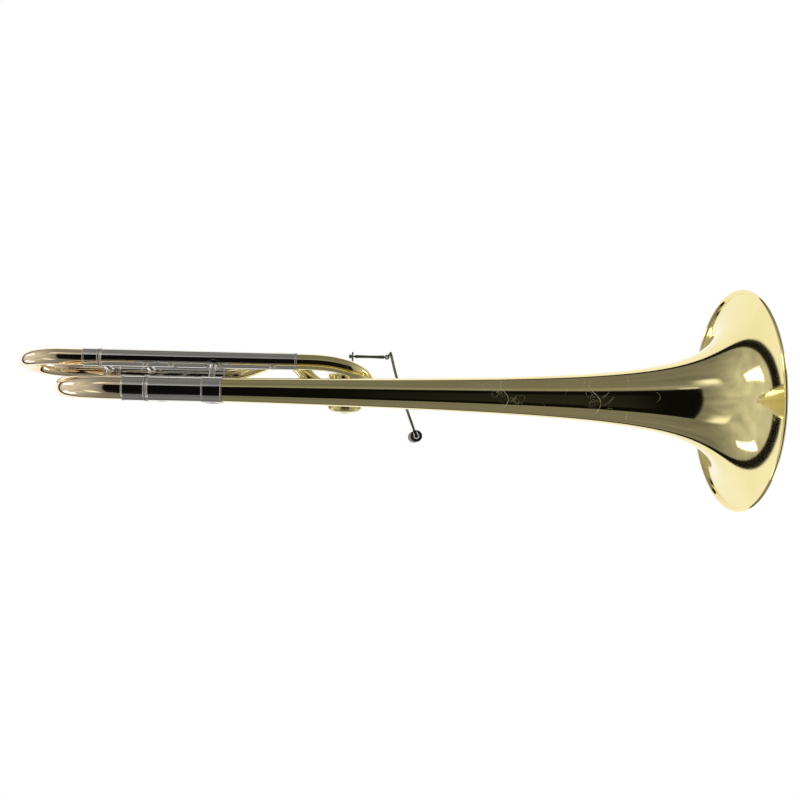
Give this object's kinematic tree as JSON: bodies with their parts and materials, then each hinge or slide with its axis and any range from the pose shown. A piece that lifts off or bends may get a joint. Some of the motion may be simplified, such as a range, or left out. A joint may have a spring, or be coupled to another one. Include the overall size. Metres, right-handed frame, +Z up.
{
  "type": "trombone bell section",
  "caption": "Tenor trombone bell section with an open-wrap F attachment: flared bell, two pull-out tuning slides, rotary valve, thumb lever and hand-slide receiver.",
  "frame": {"origin": "centre of the hand-slide receiver's mouth, on the neckpipe's axis", "axes": "+X along the tubes towards the bell's rim, +Y from the bell towards the neckpipe and on, +Z up, towards the valve's linkage side"},
  "size_m": [0.7063, 0.2319, 0.216],
  "materials": {
    "lacquered_brass": "polished yellow brass under clear lacquer",
    "gold_brass": "polished gold brass under clear lacquer",
    "nickel_silver": "polished nickel silver",
    "plated_steel": "bright plated steel",
    "bumper_rubber": "soft black rubber",
    "black_plastic": "satin black moulding",
    "pad_grey": "matt grey pad"
  },
  "bodies": {
    "instrument": {"bell_flare": "lacquered_brass", "bell_stem": "lacquered_brass", "f_near_bend": "lacquered_brass", "f_far_tube": "lacquered_brass", "valve_to_slide_tube": "lacquered_brass", "neckpipe": "lacquered_brass", "valve_casing": "lacquered_brass", "bottom_cap": "lacquered_brass", "stop_plate": "lacquered_brass", "lever_saddle": "lacquered_brass", "bell_tail_ferrule": "nickel_silver", "main_outer_sleeve_bell": "nickel_silver", "main_outer_sleeve_neck": "nickel_silver", "neck_side_ferrule": "nickel_silver", "f_outer_sleeve_near": "nickel_silver", "f_outer_sleeve_far": "nickel_silver", "f_near_ferrule": "nickel_silver", "f_far_ferrule": "nickel_silver", "slide_receiver": "nickel_silver", "upper_bearing_plate": "nickel_silver", "lower_bearing_plate": "nickel_silver", "sleeve_brace": "nickel_silver", "tail_brace": "nickel_silver", "middle_brace": "nickel_silver", "front_brace": "nickel_silver", "f_cross_brace": "nickel_silver", "f_to_bell_brace": "nickel_silver", "f_to_neck_brace": "nickel_silver", "pivot_screw": "plated_steel", "lever_spring": "plated_steel", "bumper_rest": "bumper_rubber", "bumper_pressed": "bumper_rubber"},
    "main_tuning_slide": {"main_crook": "gold_brass", "main_inner_leg_bell": "nickel_silver", "main_inner_leg_neck": "nickel_silver", "main_slide_ferrule_bell": "nickel_silver", "main_slide_ferrule_neck": "nickel_silver", "main_slide_brace": "nickel_silver"},
    "f_tuning_slide": {"f_crook": "gold_brass", "f_inner_leg_near": "nickel_silver", "f_inner_leg_far": "nickel_silver", "f_slide_ferrule_near": "nickel_silver", "f_slide_ferrule_far": "nickel_silver", "f_slide_brace": "nickel_silver"},
    "lever": {"thumb_lever": "plated_steel", "thumb_button": "black_plastic", "thumb_pad": "pad_grey"},
    "valve_rotor": {"rotor": "lacquered_brass", "stop_arm": "plated_steel", "rotor_screw": "plated_steel"},
    "link": {"link_rod": "plated_steel"},
    "nut": {"lock_nut": "nickel_silver"}
  },
  "joints": [
    {"name": "main_tuning_slide", "type": "slide", "parent": "instrument", "child": "main_tuning_slide", "axis": [-1, 0, 0], "range_m": [0, 0.045]},
    {"name": "f_tuning_slide", "type": "slide", "parent": "instrument", "child": "f_tuning_slide", "axis": [-1, 0, 0], "range_m": [0, 0.08]},
    {"name": "thumb_lever", "type": "hinge", "parent": "instrument", "child": "lever", "pos_m": [-0.06682, -0.01422, 0], "axis": [0, -1, 0], "range_deg": [0, 29.9], "stiffness_Nm_per_rad": 0.3, "springref_deg": -14.32},
    {"name": "rotor", "type": "hinge", "parent": "instrument", "child": "valve_rotor", "pos_m": [-0.127, -0.0215, 0], "axis": [0, 0, 1], "range_deg": [-0.5, 90.5]},
    {"name": "link", "type": "hinge", "parent": "lever", "child": "link", "pos_m": [-0.0836, -0.01422, 0.039], "axis": [0, -1, 0], "range_deg": [-52.5, 0.5]},
    {"name": "lock_nut", "type": "hinge", "parent": "instrument", "child": "nut", "pos_m": [0, 0, 0], "axis": [1, 0, 0], "continuous": true}
  ],
  "couplings": [
    {"joint": "rotor", "follows": "thumb_lever", "ratio": 3.01},
    {"joint": "link", "follows": "thumb_lever", "ratio": -1.7371}
  ]
}
